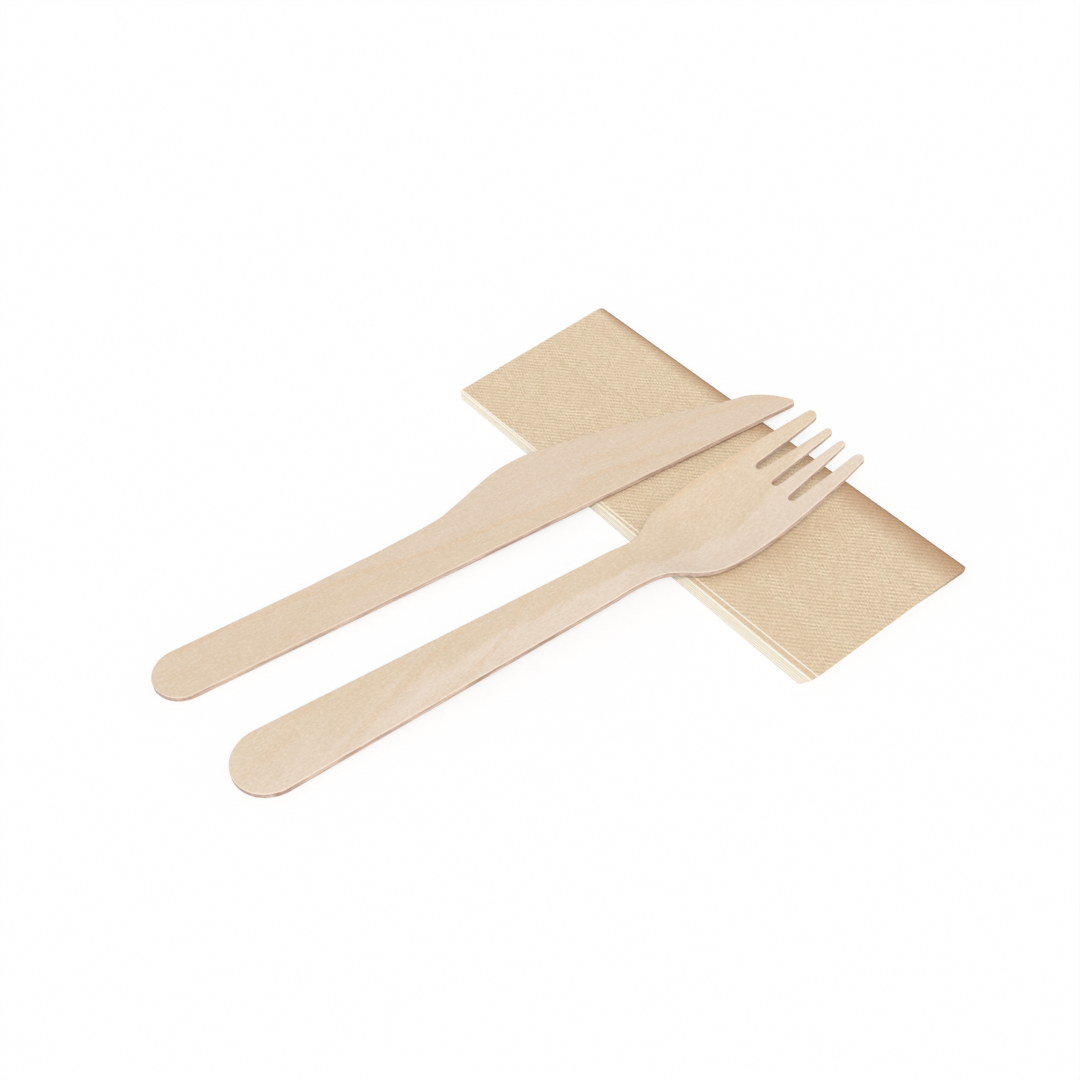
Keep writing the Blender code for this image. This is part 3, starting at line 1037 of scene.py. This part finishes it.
def makePaper(name):
    material, tree, shader = newFinish(name)
    place = addNode(tree, "ShaderNodeTexCoord", output=3)
    local = scaled(tree, place, (1 / mm, 1 / mm, 1 / mm))
    sources = {}
    for kind, (waves, location, detail, roughness) in paper["noises"].items():
        moved = scaled(tree, local, waves, location)
        sources[kind] = noiseOf(tree, moved, detail, roughness)
    fibres = sources["fibres"]
    # Painted light on the ridges and painted shade in the grooves, with fibres mixed in
    pressed = (attribute(tree, "grooveShade") + (fibres - 0.5) * paper["fibreGroove"]).clamped()
    color = tinted(tree, linear(*paper["ridgeLight"]), pressed, paper["grooveShade"])
    color = stained(tree, color, sources, paper["tints"], paper)

    # The fold is browner towards its edge, over a strip that widens along the napkin: partly the
    # paper's own brown, partly painted shade where the fold turns from the light
    east = addNode(tree, "ShaderNodeSeparateXYZ", None, {0: local}, output=0)
    north = addNode(tree, "ShaderNodeSeparateXYZ", None, {0: local}, output=1)
    narrow, wide = [reach / mm for reach in paper["foldReach"]]
    least, more = paper["foldMottle"]
    reach = narrow + (wide - narrow) * (0.5 - north / (napkin["length"] / mm)).clamped()
    inside = (napkin["width"] / 2 / mm - east) / (reach * (least + sources["mottle"] * more))
    color = tinted(tree, color, (1 - inside).clamped() * paper["foldShare"], paper["foldBrownAndShade"])
    # Painted shade: a dark line along the fold's nose, where it curves under
    last = ((east - napkin["width"] / 2 / mm) / paper["foldNoseShadeReach"] + 1).clamped()
    color = tinted(tree, color, last, paper["foldNoseShade"])

    rim = tinted(tree, linear(*paper["rim"]), attribute(tree, "tone").clamped(), paper["rimDark"])
    color = mixColors(tree, attribute(tree, "rim"), color, rim)
    bump = addNode(tree, "ShaderNodeBump", None,
                   {"Strength": 1.0, "Distance": paper["bump"], "Height": fibres})
    feed(tree, shader, {
        "Base Color": color,
        "Roughness": paper["roughness"] + (fibres - 0.5) * paper["fibreRoughness"],
        "Normal": bump,
        "Specular IOR Level": paper["gloss"],
    })
    return material


def makeNapkin():
    finish = makePaper("napkin_paper")
    makeLeaves("napkin_outer_leaf", [0], finish)
    makeLeaves("napkin_inner_leaves", range(1, napkin["wraps"]), finish)


# Studio

def makeFloor():
    mesh = bpy.data.meshes.new("studio_floor")
    model = bmesh.new()
    bmesh.ops.create_grid(model, x_segments=1, y_segments=1, size=light["floorReach"])
    model.to_mesh(mesh)
    model.free()
    floor = bpy.data.objects.new("studio_floor", mesh)
    floor.location.z = -light["floorDrop"]
    bpy.context.scene.collection.objects.link(floor)
    material, tree, shader = newFinish("studio_white")
    grey = light["floorGrey"]
    feed(tree, shader, {
        "Base Color": (grey, grey, grey, 1.0),
        "Roughness": light["floorRoughness"],
        "Specular IOR Level": 0.0,
    })
    white = addNode(tree, "ShaderNodeEmission", None,
                    {"Color": (1, 1, 1, 1), "Strength": light["backdrop"]})
    share = seenDirectly(tree) * light["floorWhite"]
    both = addNode(tree, "ShaderNodeMixShader", None,
                   {0: share, 1: Wire(shader.outputs[0]), 2: white})
    tree.links.new(both.socket, tree.nodes["Material Output"].inputs["Surface"])
    mesh.materials.append(material)


def makeLight():
    scene = bpy.context.scene
    world = bpy.data.worlds.new("studio")
    scene.world = world
    world.use_nodes = True
    tree = world.node_tree
    background = tree.nodes["Background"]
    background.inputs["Color"].default_value = (1, 1, 1, 1)
    strength = light["sky"] + seenDirectly(tree) * (light["backdrop"] - light["sky"])
    tree.links.new(strength.socket, background.inputs["Strength"])
    lamp = bpy.data.lights.new("key_light", "SUN")
    lamp.energy = light["sun"]
    lamp.angle = math.radians(light["sunAngle"])
    lamp.color = light["sunColor"]
    key = bpy.data.objects.new("key_light", lamp)
    key.rotation_euler = Vector(light["sunFrom"]).to_track_quat("Z", "Y").to_euler()
    scene.collection.objects.link(key)
    scene.view_settings.view_transform = "Standard"


def makeCamera():
    data = bpy.data.cameras.new("photo_camera")
    data.lens = view["lens"]
    data.sensor_width = view["sensor"]
    data.clip_start = view["nearest"]
    place = Vector(view["place"])
    ahead = (Vector(view["lookAt"]) - place).normalized()
    right = ahead.cross(Vector((0, 0, 1))).normalized()
    facing = Matrix((right, right.cross(ahead), -ahead)).transposed().to_4x4()
    turn = Matrix.Rotation(math.radians(view["roll"]), 4, "Z")
    camera = bpy.data.objects.new("photo_camera", data)
    bpy.context.scene.collection.objects.link(camera)
    camera.matrix_world = Matrix.Translation(place) @ facing @ turn
    bpy.context.scene.camera = camera


makeCamera()
print("camera placed")
makeLight()
makeFloor()
print("studio ready")
makeKnife()
makeFork()
makeNapkin()
bpy.context.view_layer.update()
